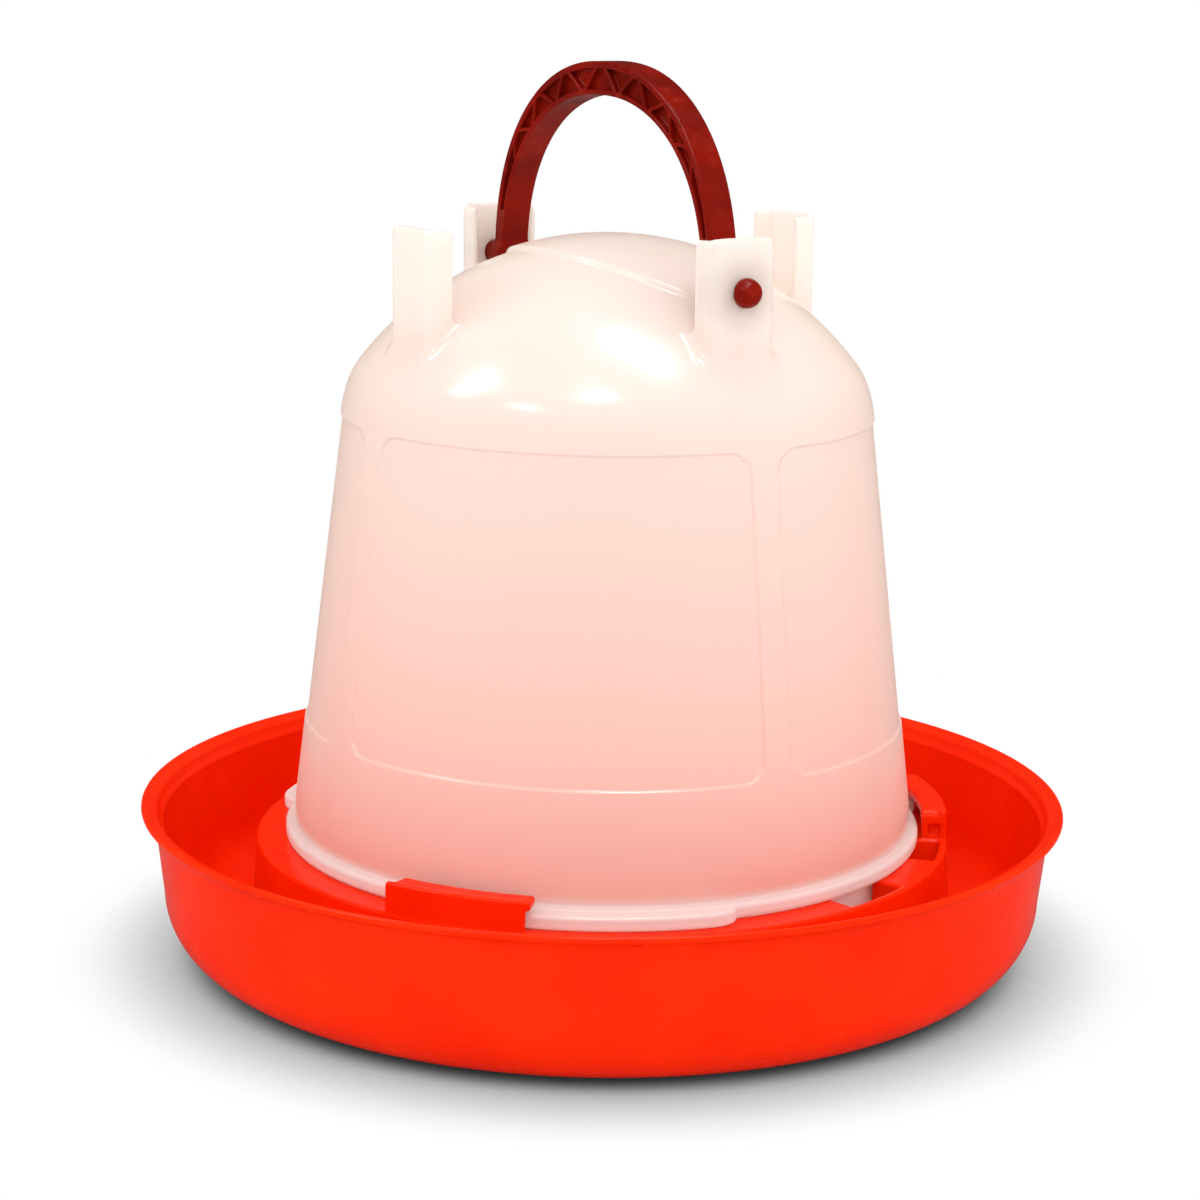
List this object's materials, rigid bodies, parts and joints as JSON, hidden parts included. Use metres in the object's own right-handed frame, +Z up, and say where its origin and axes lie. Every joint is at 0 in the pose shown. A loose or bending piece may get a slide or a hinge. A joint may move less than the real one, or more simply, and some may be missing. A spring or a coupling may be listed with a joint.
{
  "type": "poultry drinker",
  "caption": "Round poultry drinker: a domed translucent fount locks by a bayonet into a round drinking tray, with a swinging carry handle.",
  "frame": {"origin": "centre of the tray's flat standing face, on the fount's axis", "axes": "+Z up along the fount's axis; the handle's pivot axis is along Y; X is square to it"},
  "size_m": [0.3, 0.3, 0.2875],
  "materials": {
    "tray_plastic": "glossy orange-red moulded polypropylene",
    "fount_plastic": "translucent natural-white polyethylene",
    "handle_plastic": "semi-gloss dark red moulded plastic"
  },
  "bodies": {
    "tray": {"tray": "tray_plastic"},
    "fount": {"fount": "fount_plastic"},
    "handle": {"handle": "handle_plastic"}
  },
  "joints": [
    {"name": "fount_twist", "type": "hinge", "parent": "tray", "child": "fount", "pos_m": [0, 0, 0.039], "axis": [0, 0, 1], "range_deg": [-12, 60]},
    {"name": "handle_swing", "type": "hinge", "parent": "fount", "child": "handle", "pos_m": [0, 0, 0.2223], "axis": [0, 1, 0], "range_deg": [-75, 75]}
  ]
}
